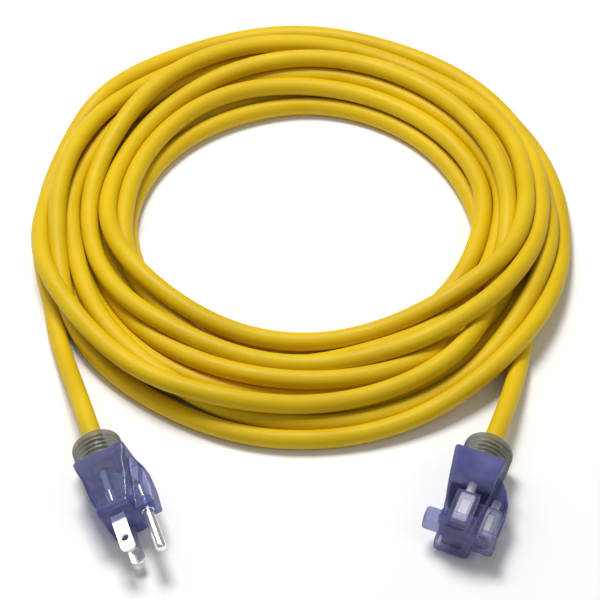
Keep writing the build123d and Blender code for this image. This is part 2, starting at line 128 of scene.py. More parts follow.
# --------------------------------------------------------------------------- meshes


def grid_faces(rows: int, columns: int, wrap: bool) -> np.ndarray:
    """Quads of a grid whose point (i, j) has index i * columns + j.

    Each quad joins a point to the next in its row, then to the two above them. With wrap, the last
    column also joins the first.

    Args:
        rows: Number of rows.
        columns: Number of points in a row.
        wrap: Whether a row closes on itself.

    Returns:
        Array of shape (faces, 4) of point indices.
    """
    last = columns if wrap else columns - 1
    i, j = np.meshgrid(np.arange(rows - 1), np.arange(last), indexing="ij")
    right = (j + 1) % columns
    quads = np.stack([i * columns + j, i * columns + right, (i + 1) * columns + right, (i + 1) * columns + j], -1)
    return quads.reshape(-1, 4)


def new_mesh(name: str, points: np.ndarray, faces: np.ndarray, smooth: bool = True) -> bpy.types.Object:
    """An object at the origin that holds the points and faces given.

    Args:
        name: The object's name.
        points: Array of shape (points, 3) in metres.
        faces: Array of shape (faces, corners) of point indices, each face turned outwards.
        smooth: Whether the faces are shaded smooth.

    Returns:
        The new object, linked to the scene.
    """
    mesh = bpy.data.meshes.new(name)
    mesh.from_pydata(points.reshape(-1, 3).tolist(), [], faces.tolist())
    mesh.polygons.foreach_set("use_smooth", np.full(len(mesh.polygons), smooth))
    mesh.update()
    made = bpy.data.objects.new(name, mesh)
    bpy.context.scene.collection.objects.link(made)
    return made


def lathe(frame: EndFrame, profile: np.ndarray, steps: int = 128, y: float = 0.0, z: float = 0.0) -> tuple:
    """A closed ring turned about a line along local X.

    Each profile point (x, r) goes round as (x, y + r cos t, z + r sin t) for t from 0 to a full turn,
    and the profile's last point joins its first.

    Args:
        frame: The end that the ring belongs to.
        profile: Array of shape (points, 2) of (x, r) in millimetres, a closed loop.
        steps: Points round the circle.
        y: Level of the line along local Y.
        z: Level of the line along local Z.

    Returns:
        (points in metres, faces).
    """
    turn = np.linspace(0, 2 * np.pi, steps, endpoint=False)
    x = np.repeat(profile[:, :1], steps, axis=1)
    r = profile[:, 1:]
    grid = np.stack([x, y + r * np.cos(turn), z + r * np.sin(turn)], -1)
    grid = np.concatenate([grid, grid[:1]])
    faces = grid_faces(len(profile) + 1, steps, wrap=True) % (len(profile) * steps)
    return frame.place(grid[:-1]).reshape(-1, 3), faces


# --------------------------------------------------------------------------- finishes


class Graph:
    """A small helper round one material's node tree."""

    def __init__(self, name: str) -> None:
        """Starts a material with an empty tree and its output."""
        self.material = bpy.data.materials.new(name)
        self.material.use_nodes = True
        self.tree = self.material.node_tree
        self.tree.nodes.clear()
        self.output = self.tree.nodes.new("ShaderNodeOutputMaterial")

    def node(self, kind: str, **settings: object) -> bpy.types.Node:
        """A node with its properties set."""
        made = self.tree.nodes.new(kind)
        for key, value in settings.items():
            setattr(made, key, value)
        return made

    def link(self, start: Socket, end: Socket) -> None:
        """Joins two sockets."""
        self.tree.links.new(start, end)

    def place(self, source: str = "Object", scale: tuple[float, float, float] = (1, 1, 1)) -> Socket:
        """Coordinates for a pattern, scaled along each axis."""
        origin = self.node("ShaderNodeTexCoord")
        mapping = self.node("ShaderNodeMapping")
        mapping.inputs["Scale"].default_value = scale
        self.link(origin.outputs[source], mapping.inputs["Vector"])
        return mapping.outputs["Vector"]

    def noise(self, where: Socket, scale: float, detail: float = 4.0, rough: float = 0.5) -> Socket:
        """Smooth noise between 0 and 1."""
        made = self.node("ShaderNodeTexNoise")
        made.inputs["Scale"].default_value = scale
        made.inputs["Detail"].default_value = detail
        made.inputs["Roughness"].default_value = rough
        self.link(where, made.inputs["Vector"])
        return made.outputs["Fac"]

    def spread(self, value: Socket, low: float, high: float, start: float = 0.3, stop: float = 0.7) -> Socket:
        """A value from start to stop mapped onto low to high, and held there."""
        made = self.node("ShaderNodeMapRange")
        for key, number in (("From Min", start), ("From Max", stop), ("To Min", low), ("To Max", high)):
            made.inputs[key].default_value = number
        self.link(value, made.inputs["Value"])
        return made.outputs["Result"]

    def blend(self, amount: Socket, first: Colour, second: Colour) -> Socket:
        """Two colours mixed by an amount."""
        made = self.node("ShaderNodeMix", data_type="RGBA")
        self.link(amount, made.inputs["Factor"])
        made.inputs["A"].default_value = (*first, 1)
        made.inputs["B"].default_value = (*second, 1)
        return made.outputs["Result"]

    def tint(self, amount: Socket, colour: Socket, second: Colour) -> Socket:
        """A colour from the graph mixed towards a fixed one by an amount."""
        made = self.node("ShaderNodeMix", data_type="RGBA")
        self.link(amount, made.inputs["Factor"])
        self.link(colour, made.inputs["A"])
        made.inputs["B"].default_value = (*second, 1)
        return made.outputs["Result"]

    def sum(self, first: Socket, second: Socket, weight: float) -> Socket:
        """The first value plus the second times a weight."""
        made = self.node("ShaderNodeMath", operation="MULTIPLY_ADD")
        self.link(second, made.inputs[0])
        made.inputs[1].default_value = weight
        self.link(first, made.inputs[2])
        return made.outputs[0]

    def bump(self, height: Socket, depth_mm: float, strength: float = 1.0) -> Socket:
        """A normal from a height that runs from 0 to 1 over the depth given."""
        made = self.node("ShaderNodeBump")
        made.inputs["Strength"].default_value = strength
        made.inputs["Distance"].default_value = depth_mm * MM
        self.link(height, made.inputs["Height"])
        return made.outputs["Normal"]

    def principled(self, **values: object) -> bpy.types.Node:
        """The main shader, with plain values set on its own sockets."""
        made = self.node("ShaderNodeBsdfPrincipled")
        for key, value in values.items():
            made.inputs[key.replace("_", " ")].default_value = value
        return made

    def finish(self, surface: Socket) -> bpy.types.Material:
        """Ends the tree on a surface."""
        self.link(surface, self.output.inputs["Surface"])
        return self.material


@dataclass(frozen=True)
class VinylJacket:
    """Satin extruded vinyl: fine grain, faint draw lines along the cord, slight colour drift."""

    name: str = "vinyl_jacket_yellow"
    colour: Colour = (0.735, 0.503, 0.004)
    deep: Colour = (0.645, 0.425, 0.002)
    dust: Colour = (0.73, 0.54, 0.04)

    def make(self) -> bpy.types.Material:
        """The material."""
        g = Graph(self.name)
        where = g.place()
        drift = g.spread(g.noise(where, 26.0, 3.0), 0.0, 1.0, 0.32, 0.68)
        colour = g.blend(drift, self.colour, self.deep)
        scuff = g.spread(g.noise(where, 140.0, 6.0, 0.7), 0.0, 0.35, 0.58, 0.80)
        colour = g.tint(scuff, colour, self.dust)
        grain = g.noise(where, 1500.0, 3.0, 0.6)
        pits = g.noise(where, 420.0, 4.0, 0.55)
        along = g.place("UV", (3.0, 90.0, 1.0))
        draw = g.noise(along, 1.0, 2.0, 0.5)
        height = g.sum(g.sum(pits, grain, 0.6), draw, 0.7)
        shader = g.principled(IOR=1.5, Specular_IOR_Level=0.24)
        g.link(colour, shader.inputs["Base Color"])
        g.link(g.spread(g.noise(where, 60.0, 4.0), 0.42, 0.56), shader.inputs["Roughness"])
        g.link(g.bump(height, 0.05, 0.55), shader.inputs["Normal"])
        return g.finish(shader.outputs["BSDF"])


@dataclass(frozen=True)
class Grade:
    """How clear a moulding is along one direction: pairs of (level in millimetres, clearness from 0 to 1)."""

    origin: tuple[float, float, float]
    direction: tuple[float, float, float]
    stops: tuple[tuple[float, float], ...]
    veil: float
    tint: Colour

    def clearness(self, g: Graph) -> Socket:
        """The clearness at a point: its level along the direction, read off straight lines between the stops."""
        place = g.node("ShaderNodeTexCoord")
        off = g.node("ShaderNodeVectorMath", operation="SUBTRACT")
        off.inputs[1].default_value = self.origin
        g.link(place.outputs["Object"], off.inputs[0])
        level = g.node("ShaderNodeVectorMath", operation="DOT_PRODUCT")
        level.inputs[1].default_value = self.direction
        g.link(off.outputs["Vector"], level.inputs[0])
        low, high = self.stops[0][0], self.stops[-1][0]
        ramp_node = g.node("ShaderNodeValToRGB")
        ramp = ramp_node.color_ramp
        for index, (mark, value) in enumerate(self.stops):
            share = (mark - low) / (high - low)
            stop = ramp.elements[index] if index < 2 else ramp.elements.new(share)
            stop.position, stop.color = share, (value, value, value, 1)
        g.link(g.spread(level.outputs["Value"], 0.0, 1.0, low * MM, high * MM), ramp_node.inputs["Fac"])
        return ramp_node.outputs["Color"]


@dataclass(frozen=True)
class ClearVinyl:
    """Tinted see-through moulded vinyl: clear straight on, more opaque towards its edges, with a painted dark rim
    shade there and a soft gloss.
    """

    name: str
    tint: Colour
    body: Colour
    deep: Colour
    veil: float = 0.34
    rim: float = 0.92
    roughness: float = 0.16
    # How dark the painted rim shade at grazing angles is, as a share of the deep colour.
    painted_rim_shade: float = 0.8
    grade: Grade | None = None

    def make(self) -> bpy.types.Material:
        """The material: a clear tinted layer and a coloured plastic, shared by how much the surface turns away,
        under a painted dark rim shade where it turns furthest away.
        """
        g = Graph(self.name)
        where = g.place()
        cloud = g.noise(where, 70.0, 3.0)
        haze = g.spread(cloud, 0.0, 1.0, 0.35, 0.65)
        colour = g.blend(haze, self.body, self.deep)
        flow = g.noise(g.place("Object", (1.0, 0.35, 1.0)), 190.0, 4.0, 0.6)
        fine = g.noise(where, 1100.0, 2.0)
        normal = g.bump(g.sum(flow, fine, 0.25), 0.10, 0.35)
        shader = g.principled(
            IOR=1.48, Specular_IOR_Level=0.5, Coat_Weight=0.16, Coat_Roughness=0.05, Subsurface_Weight=0.25,
            Subsurface_Scale=0.004,
        )
        shader.inputs["Subsurface Radius"].default_value = (1.0, 1.0, 1.4)
        facing = g.node("ShaderNodeLayerWeight")
        facing.inputs["Blend"].default_value = 0.45
        g.link(normal, facing.inputs["Normal"])
        # Painted shade: a mask for the dark rim drawn where the surface turns away from the view.
        painted_rim_mask = g.spread(facing.outputs["Facing"], 0.0, 0.9, 0.48, 0.92)
        g.link(colour, shader.inputs["Base Color"])
        g.link(g.spread(cloud, self.roughness * 0.7, self.roughness * 1.4), shader.inputs["Roughness"])
        g.link(normal, shader.inputs["Normal"])
        clear = g.node("ShaderNodeBsdfTransparent")
        clear.inputs["Color"].default_value = (*self.tint, 1)
        amount = g.spread(facing.outputs["Facing"], self.veil, self.rim, 0.20, 0.85)
        if self.grade:
            clear_share = self.grade.clearness(g)
            g.link(g.spread(clear_share, self.veil, self.grade.veil, 0.0, 1.0), amount.node.inputs["To Min"])
            g.link(g.blend(clear_share, self.tint, self.grade.tint), clear.inputs["Color"])
        mix = g.node("ShaderNodeMixShader")
        g.link(amount, mix.inputs["Fac"])
        g.link(clear.outputs["BSDF"], mix.inputs[1])
        g.link(shader.outputs["BSDF"], mix.inputs[2])
        # Painted shade: a dark diffuse rim laid over the edges seen at grazing angles.
        painted_rim_shade = g.node("ShaderNodeBsdfDiffuse")
        painted_rim_shade.inputs["Color"].default_value = (*(v * self.painted_rim_shade for v in self.deep), 1)
        painted_rim_mix = g.node("ShaderNodeMixShader")
        g.link(painted_rim_mask, painted_rim_mix.inputs["Fac"])
        g.link(mix.outputs["Shader"], painted_rim_mix.inputs[1])
        g.link(painted_rim_shade.outputs["BSDF"], painted_rim_mix.inputs[2])
        return g.finish(painted_rim_mix.outputs["Shader"])


@dataclass(frozen=True)
class PlatedMetal:
    """Bright metal with fine rolling lines along one axis and small marks from handling."""

    name: str
    colour: Colour
    dull: Colour
    roughness: float = 0.2
    lines: tuple[float, float, float] = (900.0, 60.0, 900.0)
    metallic: float = 1.0

    def make(self) -> bpy.types.Material:
        """The material."""
        g = Graph(self.name)
        where = g.place()
        stain = g.spread(g.noise(where, 180.0, 5.0, 0.6), 0.0, 0.6, 0.45, 0.8)
        colour = g.blend(stain, self.colour, self.dull)
        drawn = g.noise(g.place("Object", self.lines), 1.0, 3.0)
        shader = g.principled(Metallic=self.metallic)
        g.link(colour, shader.inputs["Base Color"])
        g.link(g.spread(drawn, self.roughness * 0.85, self.roughness * 1.2), shader.inputs["Roughness"])
        g.link(g.bump(drawn, 0.0012, 0.2), shader.inputs["Normal"])
        return g.finish(shader.outputs["BSDF"])


@dataclass(frozen=True)
class WireVinyl:
    """Thin coloured insulation with a fine grain."""

    name: str
    colour: Colour
    pale: Colour
    roughness: float = 0.35

    def make(self) -> bpy.types.Material:
        """The material."""
        g = Graph(self.name)
        where = g.place()
        cloud = g.noise(where, 260.0, 4.0)
        shader = g.principled(IOR=1.5, Specular_IOR_Level=0.45)
        g.link(g.blend(g.spread(cloud, 0.0, 0.7), self.colour, self.pale), shader.inputs["Base Color"])
        g.link(g.spread(cloud, self.roughness * 0.8, self.roughness * 1.3), shader.inputs["Roughness"])
        g.link(g.bump(g.noise(where, 1800.0, 3.0), 0.02, 0.4), shader.inputs["Normal"])
        return g.finish(shader.outputs["BSDF"])


@dataclass(frozen=True)
class FloorPaper:
    """A pale seamless floor with a barely visible tooth."""

    name: str = "pale_floor"
    colour: Colour = (0.93, 0.93, 0.93)

    def make(self) -> bpy.types.Material:
        """The material."""
        g = Graph(self.name)
        where = g.place()
        shader = g.principled(Roughness=0.85, Specular_IOR_Level=0.15)
        pale = tuple(v * 0.985 for v in self.colour)
        g.link(g.blend(g.noise(where, 9.0, 2.0), self.colour, pale), shader.inputs["Base Color"])
        g.link(g.bump(g.noise(where, 700.0, 2.0), 0.03, 0.2), shader.inputs["Normal"])
        return g.finish(shader.outputs["BSDF"])


class Slot(Enum):
    """The record's material slots."""

    CORD = "cord_yellow"
    VIOLET = "violet_clear"
    VIOLET_SOCKET = "violet_clear_socket"
    GREY = "grey_clear"
    CORE = "frosted_core"
    NICKEL = "nickel"
    CONTACT = "contact_alloy"
    STEEL = "spring_steel"
    COPPER = "copper"
    BLACK = "insulation_black"
    WHITE = "insulation_white"
    GREEN = "insulation_green"
    BUTTON = "button_violet"


FINISHES = {
    Slot.CORD: VinylJacket(),
    Slot.VIOLET: ClearVinyl(
        "clear_violet_vinyl", (0.66, 0.68, 0.88), (0.160, 0.172, 0.40), (0.085, 0.092, 0.27), 0.50, 0.97,
        grade=Grade(PLUG_FRAME.face, PLUG_FRAME.across, ((5.0, 0.0), (7.6, 0.0), (9.6, 1.0), (20.0, 0.9)), 0.42,
                    (0.68, 0.70, 0.90))),
    Slot.VIOLET_SOCKET: ClearVinyl(
        "clear_violet_socket_vinyl", (0.60, 0.62, 0.87), (0.155, 0.163, 0.385), (0.085, 0.09, 0.26), 0.80, 0.97,
        grade=Grade(CONNECTOR_FRAME.face, CONNECTOR_FRAME.out,
                    ((-40.0, 0.0), (-27.0, 0.0), (-17.5, 0.95), (-4.4, 1.0), (-2.2, 0.7), (0.0, 0.65)), 0.03,
                    (0.93, 0.94, 0.99))),
    # The smoke collar gets a darker painted rim shade than the other clear pieces.
    Slot.GREY: ClearVinyl(
        "clear_smoke_vinyl", (0.78, 0.80, 0.76), (0.29, 0.30, 0.26), (0.18, 0.19, 0.165), 0.46, 0.97, painted_rim_shade=0.45),
    Slot.CORE: ClearVinyl(
        "frosted_violet_insert", (0.97, 0.972, 0.995), (0.74, 0.75, 0.88), (0.62, 0.63, 0.80), 0.10, 0.70, 0.35),
    Slot.NICKEL: PlatedMetal("bright_nickel", (0.97, 0.965, 0.95), (0.92, 0.91, 0.89), 0.17, metallic=0.92),
    Slot.CONTACT: PlatedMetal("tinned_brass", (1.0, 0.93, 0.80), (0.95, 0.86, 0.70), 0.45, metallic=0.15),
    Slot.STEEL: PlatedMetal("spring_steel", (0.62, 0.61, 0.60), (0.45, 0.44, 0.43), 0.28),
    Slot.COPPER: PlatedMetal("bare_copper", (0.86, 0.42, 0.24), (0.60, 0.27, 0.15), 0.25),
    Slot.BLACK: WireVinyl("black_insulation", (0.02, 0.02, 0.021), (0.04, 0.04, 0.042)),
    Slot.WHITE: WireVinyl("white_insulation", (0.80, 0.80, 0.78), (0.70, 0.70, 0.67)),
    Slot.GREEN: WireVinyl("green_insulation", (0.03, 0.26, 0.08), (0.05, 0.34, 0.12)),
    Slot.BUTTON: ClearVinyl(
        "clear_button_violet", (0.78, 0.79, 0.95), (0.26, 0.27, 0.52), (0.19, 0.19, 0.44), 0.38, 0.85),
}


class Paintbox:
    """Makes each finish once and gives it out by slot."""

    def __init__(self) -> None:
        """Starts with nothing made."""
        self.made: dict[Slot, bpy.types.Material] = {}

    def get(self, slot: Slot) -> bpy.types.Material:
        """The slot's material."""
        if slot not in self.made:
            self.made[slot] = FINISHES[slot].make()
        return self.made[slot]

    def dress(self, piece: bpy.types.Object, slot: Slot) -> None:
        """Puts a slot's material on every material slot of a piece."""
        if not piece.material_slots:
            piece.data.materials.append(self.get(slot))
        for place in piece.material_slots:
            place.material = self.get(slot)

    def new_piece(self, piece: bpy.types.Object, slot: Slot, body: str, *nodes: str) -> bpy.types.Object:
        """Dresses a new piece, makes it ride on a body and hides the CAD nodes that it stands for."""
        self.dress(piece, slot)
        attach(piece, body)
        if nodes:
            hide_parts(*nodes)
        LOG.info("%s: %d faces, on %s", piece.name, len(getattr(piece.data, "polygons", ())), body)
        return piece


# --------------------------------------------------------------------------- the cord


@dataclass(frozen=True)
class Turn:
    """One turn of the coil as it is thrown down: (radius in mm, layer) on its right, back, left and front."""

    right: tuple[float, float]
    back: tuple[float, float]
    left: tuple[float, float]
    front: tuple[float, float]


@dataclass
class Cord:
    """The jacketed cord from collar to collar, with its loose coil, in one curve.

    The coil is thrown down as rough turns, then settled: gravity, the floor, contact between
    strands, bending and a fixed length are applied in turn to every point at once.
    """

    diameter: float = 8.6
    length: float = 7620.0
    shift: tuple[float, float, float] = (4.118, 165.060, 0.0)
    start: float = -14.0
    stop: float = 192.0
    steps_per_turn: int = 41
    spacing: float = 15.5
    layer_height: float = 9.4
    inner: float = 81.8
    outer: float = 121.8
    front_slack: float = 4.4
    back_slack: float = 4.0
    front_inset: float = 6.0
    ceiling: float = 23.4
    rounds: int = 1000
    passes: int = 2
    drop: float = 0.5
    calm_share: float = 0.35
    springiness: float = 0.06
    grip: float = 0.02
    yielding: float = 0.6
    held: int = 6
    look_every: int = 6
    look_margin: float = 6.0
    skip: int = 3
    connector_route: list[tuple[float, float, float]] = field(default_factory=lambda: [
        (81.84, -136.26, 12.04), (87.60, -120.28, 11.45), (93.3, -101.5, 7.4), (97.6, -83.5, 4.6),
        (101.4, -65.0, 4.3), (105.2, -46.5, 4.3), (108.6, -28.0, 4.3)])
    plug_route: list[tuple[float, float, float]] = field(default_factory=lambda: [
        (-118.0, -25.0, 4.3), (-115.6, -44.0, 4.3), (-111.6, -62.5, 4.3), (-106.8, -80.5, 5.0),
        (-101.2, -98.5, 9.4), (-95.20, -119.88, 15.38), (-89.92, -136.03, 14.79)])
    turns: list[Turn] = field(default_factory=lambda: [
        Turn((110.0, 0.0), (111.0, 0.0), (111.5, 0.0), (114.5, 0.0)),
        Turn((101.5, 0.0), (102.0, 0.0), (102.0, 0.0), (105.5, 0.0)),
        Turn((92.8, 0.0), (92.8, 0.0), (92.5, 0.0), (90.0, 0.0)),
        Turn((84.0, 0.0), (83.6, 0.0), (83.5, 0.0), (78.5, 0.1)),
        Turn((88.0, 1.0), (89.3, 1.0), (87.0, 1.0), (82.0, 1.0)),
        Turn((97.5, 1.0), (98.5, 1.0), (97.5, 1.0), (95.0, 1.0)),
        Turn((106.5, 1.0), (107.8, 1.0), (107.0, 1.0), (119.0, 1.0)),
        Turn((115.0, 1.0), (116.5, 1.0), (116.5, 0.9), (126.0, 0.0)),
        Turn((120.0, 0.2), (120.4, 0.0), (121.5, 1.3), (116.0, 2.0)),
        Turn((95.0, 2.0), (104.7, 2.0), (87.5, 2.0), (74.5, 2.2)),
        Turn((104.5, 2.0), (115.2, 2.1), (100.0, 2.0), (90.0, 2.0)),
        Turn((112.0, 2.0), (125.8, 2.0), (121.0, 0.0), (121.0, 0.0))])

    def thrown(self) -> np.ndarray:
        """The coil before it settles.

        Radius and layer run straight from each quarter turn's value to the next, and a cosine window
        about a quarter turn wide smooths both. The height is the layer times a layer's height.

        Returns:
            Array of shape (points, 3) in millimetres, about the coil's own middle.
        """
        table = np.array([[t.right, t.back, t.left, t.front] for t in self.turns], float).reshape(-1, 2)
        sweep = 360 * (len(self.turns) - 1) + (self.stop - self.start)
        angle = np.linspace(self.start, self.start + sweep, int(round(sweep / 360 * self.steps_per_turn)))
        quarters = 90.0 * np.arange(len(table))
        window = np.hanning(13)[1:-1]
        window /= window.sum()
        pad = len(window) // 2
        wide = np.concatenate([np.full(pad, angle[0]), angle, np.full(pad, angle[-1])])
        r, layer = (np.convolve(np.interp(wide, quarters, table[:, k]), window, mode="valid") for k in (0, 1))
        bearing = np.radians(angle)
        return np.stack([r * np.cos(bearing), r * np.sin(bearing), self.diameter / 2 + self.layer_height * layer], 1)

    def evenly(self, points: np.ndarray) -> tuple[np.ndarray, float]:
        """Points at equal steps along a line, and the step between them once it lies flat.

        Args:
            points: Array of shape (points, 3).

        Returns:
            (the new points, the step in millimetres).
        """
        runs = np.linalg.norm(np.diff(points, axis=0), axis=1)
        along = np.concatenate([[0], np.cumsum(runs)])
        count = int(round(along[-1] / self.spacing))
        marks = np.linspace(0, along[-1], count + 1)
        flat = np.linalg.norm(np.diff(points[:, :2], axis=0), axis=1).sum()
        return np.stack([np.interp(marks, along, points[:, k]) for k in range(3)], 1), flat / count

    def settle(self, points: np.ndarray, step: float) -> np.ndarray:
        """Lets the thrown coil come to rest.

        Each round drops every free point a little, smooths its fourth difference and draws it slightly
        back over the place where it fell, as friction does. Then it parts the strands and restores the
        step between neighbours.

        Args:
            points: Array of shape (points, 3) in millimetres.
            step: The distance between neighbours in millimetres.

        Returns:
            The settled points.
        """
        x, n = points.copy(), len(points)
        free = np.ones(n, bool)
        free[:self.held] = free[n - self.held:] = False
        w = free.astype(float)[:, None]
        near = far = np.zeros(0, int)
        for turn in range(self.rounds):
            if turn % self.look_every == 0:
                near, far = self.neighbours(x, step)
            x[:, 2] -= self.drop * min(1.0, (self.rounds - turn) / (self.rounds * self.calm_share)) * w[:, 0]
            bend = np.zeros_like(x)
            bend[2:-2] = x[:-4] - 4 * x[1:-3] + 6 * x[2:-2] - 4 * x[3:-1] + x[4:]
            x -= self.springiness * bend * w
            x[:, :2] += self.grip * (points[:, :2] - x[:, :2]) * w
            for _ in range(self.passes):
                self.part(x, w, near, far)
                self.hold(x, free)
            for _ in range(self.passes):
                self.restore(x, w, step)
        return x

    def neighbours(self, x: np.ndarray, step: float) -> tuple[np.ndarray, np.ndarray]:
        """Points and steps that may touch: near enough across the coil, and not close along the cord.

        Args:
            x: Array of shape (points, 3) in millimetres.
            step: The distance between neighbours in millimetres.

        Returns:
            (indices of points, indices of the first points of steps).
        """
        middle = (x[:-1] + x[1:]) / 2
        gap = (x ** 2).sum(1)[:, None] + (middle ** 2).sum(1)[None] - 2 * x @ middle.T
        near, far = np.nonzero(gap < (self.diameter + step / 2 + self.look_margin) ** 2)
        apart = (np.abs(near - far) > self.skip) & (np.abs(near - far - 1) > self.skip)
        return near[apart], far[apart]

    def part(self, x: np.ndarray, w: np.ndarray, near: np.ndarray, far: np.ndarray) -> None:
        """Pushes each point and step that are nearer than a diameter apart, in place.

        The push runs along the line from the step's nearest spot to the point. It is shared out by
        how free each of the three points is, and averaged where a point has several contacts.

        Args:
            x: Array of shape (points, 3) in millimetres, changed in place.
            w: How free each point is, of shape (points, 1).
            near: Indices of points.
            far: Indices of the first points of steps.
        """
        start, run = x[far], x[far + 1] - x[far]
        share = np.clip(((x[near] - start) * run).sum(1) / (run ** 2).sum(1), 0, 1)
        away = x[near] - start - run * share[:, None]
        distance = np.sqrt((away ** 2).sum(1)) + TINY
        hit = distance < self.diameter
        i, j, s = near[hit], far[hit], share[hit]
        wi, wj = w[i, 0], np.maximum(w[j, 0], w[j + 1, 0])
        push = ((self.diameter - distance[hit]) / distance[hit] / np.maximum(wi + wj, TINY))[:, None] * away[hit]
        moved, count = np.zeros_like(x), np.zeros(len(x))
        for index, amount in ((i, wi), (j, -(1 - s) * wj), (j + 1, -s * wj)):
            np.add.at(moved, index, push * amount[:, None])
        for index, amount in ((i, 1.0), (j, 1 - s), (j + 1, s)):
            np.add.at(count, index, amount)
        x += w * moved / np.sqrt(np.maximum(count, 1))[:, None] * self.yielding

    def hold(self, x: np.ndarray, free: np.ndarray) -> None:
        """Keeps the free points between the coil's inner and outer radius, on the floor and below its top.

        Args:
            x: Array of shape (points, 3) in millimetres, changed in place.
            free: Whether each point is free.
        """
        reach = np.hypot(x[:, 0], x[:, 1])
        sine = x[:, 1] / reach
        limit = self.outer + self.front_slack * np.maximum(0, -sine) + self.back_slack * np.maximum(0, sine)
        least = self.inner - self.front_inset * np.maximum(0, -sine)
        x[:, :2] *= np.where(free, np.clip(reach, least, limit) / reach, 1.0)[:, None]
        x[:, 2] = np.clip(x[:, 2], self.diameter / 2, np.where(free, self.ceiling, NO_CEILING))

    @staticmethod
    def restore(x: np.ndarray, w: np.ndarray, step: float) -> None:
        """Moves the two points of each step along it until they are a step apart, every other step first.

        Args:
            x: Array of shape (points, 3) in millimetres, changed in place.
            w: How free each point is, of shape (points, 1).
            step: The distance between neighbours in millimetres.
        """
        for odd in (0, 1):
            a = np.arange(odd, len(x) - 1, 2)
            run = x[a + 1] - x[a]
            now = np.sqrt((run ** 2).sum(1))
            total = np.maximum(w[a, 0] + w[a + 1, 0], TINY)
            change = ((now - step) / now / total)[:, None] * run
            x[a] += change * w[a]
            x[a + 1] -= change * w[a + 1]

    def route(self) -> np.ndarray:
        """The control points of the whole cord in row-frame metres, from the connector to the plug."""
        rough = np.concatenate([np.array(self.connector_route), self.thrown(), np.array(self.plug_route)])
        points, step = self.evenly(rough)
        return (self.settle(points, step) + np.array(self.shift)) * MM

    def build(self, box: Paintbox) -> bpy.types.Object:
        """The cord as one NURBS curve with a round section."""
        points = self.route()
        data = bpy.data.curves.new("cord", "CURVE")
        data.dimensions = "3D"
        data.bevel_depth = self.diameter / 2 * MM
        data.bevel_resolution = 6
        data.use_fill_caps = True
        spline = data.splines.new("NURBS")
        spline.points.add(len(points) - 1)
        spline.points.foreach_set("co", np.column_stack([points, np.ones(len(points))]).ravel())
        spline.order_u = 3
        spline.use_endpoint_u = True
        spline.resolution_u = 4
        spline.use_smooth = True
        cord = bpy.data.objects.new("cord", data)
        bpy.context.scene.collection.objects.link(cord)
        return box.new_piece(cord, Slot.CORD, ROOT_BODY, "cord_coil", "plug_tail", "connector_tail")


# --------------------------------------------------------------------------- the collars


@dataclass
class Collar:
    """The short ribbed strain relief behind an end."""

    name: str
    frame: EndFrame
    node: str
    front: float
    diameter: float = 22.0
    length: float = 13.0
    rim: float = 3.0
    grooves: int = 4
    groove_width: float = 1.15
    groove_depth: float = 1.0
    cord_radius: float = 4.32

    def profile(self) -> np.ndarray:
        """The collar's section as (x, r): a rounded back rim, ribs with soft crests, and the bore.

        The outer line is the radius less a row of smooth dips exp(-(distance / width)^4) at the
        grooves, and it comes in at the back along a quarter circle.

        Returns:
            Array of shape (points, 2) in millimetres, a closed loop.
        """
        back, radius = self.front - self.length, self.diameter / 2
        step = (self.length - self.rim) / (self.grooves + 0.5)
        x = np.linspace(self.front, back + self.rim, 72)
        dips = sum(np.exp(-((x - (self.front - step * (k + 0.75))) / (self.groove_width / 2)) ** 4)
                   for k in range(self.grooves))
        outside = np.column_stack([x, radius - self.groove_depth * dips])
        turn = np.linspace(0, np.pi / 2, 12)[1:]
        corner = np.column_stack([back + self.rim * (1 - np.sin(turn)), radius - self.rim * (1 - np.cos(turn))])
        lip = np.array([[back, self.cord_radius + 1.4], [back + 0.25, self.cord_radius + 0.5],
                        [back + 0.9, self.cord_radius], [self.front, self.cord_radius]])
        return np.concatenate([outside, corner, lip])

    def build(self, box: Paintbox) -> bpy.types.Object:
        """The collar as a turned ring."""
        points, faces = lathe(self.frame, self.profile())
        return box.new_piece(new_mesh(self.name, points, faces), Slot.GREY, ROOT_BODY, self.node)


# --------------------------------------------------------------------------- the moulded bodies


@dataclass(frozen=True)
class Band:
    """A raised band moulded round part of an end, close behind its face.

    Its path is a line of (y, z) corners in the end's own frame, and it runs from front to back along X.
    """

    path: tuple[tuple[float, float], ...]
    front: float
    back: float
    thickness: float = 1.4
    corner: float = 2.0

    def rounded(self) -> np.ndarray:
        """The path with each inner corner replaced by a quadratic curve of the corner's length."""
        path = np.array(self.path, float)
        line = [path[:1]]
        share = np.linspace(0, 1, 9)[:, None]
        for before, here, after in zip(path[:-2], path[1:-1], path[2:]):
            start = here + (before - here) / np.linalg.norm(before - here) * self.corner
            stop = here + (after - here) / np.linalg.norm(after - here) * self.corner
            line.append((1 - share) ** 2 * start + 2 * share * (1 - share) * here + share ** 2 * stop)
        return np.concatenate(line + [path[-1:]])

    def build(self, frame: EndFrame) -> tuple[np.ndarray, np.ndarray]:
        """The band as a closed tube of square section with flat ends.

        Args:
            frame: The end that the band belongs to.

        Returns:
            (points in metres, triangles).
        """
        line = self.rounded()
        run = np.gradient(line, axis=0)
        run /= np.linalg.norm(run, axis=1, keepdims=True)
        aside = np.column_stack([-run[:, 1], run[:, 0]]) * self.thickness / 2
        rows = [np.column_stack([np.full(len(line), x), line + side * aside])
                for x, side in ((self.front, 1), (self.back, 1), (self.back, -1), (self.front, -1))]
        grid = np.stack(rows, 1)
        quads = np.concatenate([grid_faces(len(line), 4, wrap=True), [[3, 2, 1, 0]],
                                [np.arange(4) + 4 * (len(line) - 1)]])
        triangles = np.concatenate([quads[:, [0, 1, 2]], quads[:, [0, 2, 3]]])
        return frame.place(grid).reshape(-1, 3), triangles


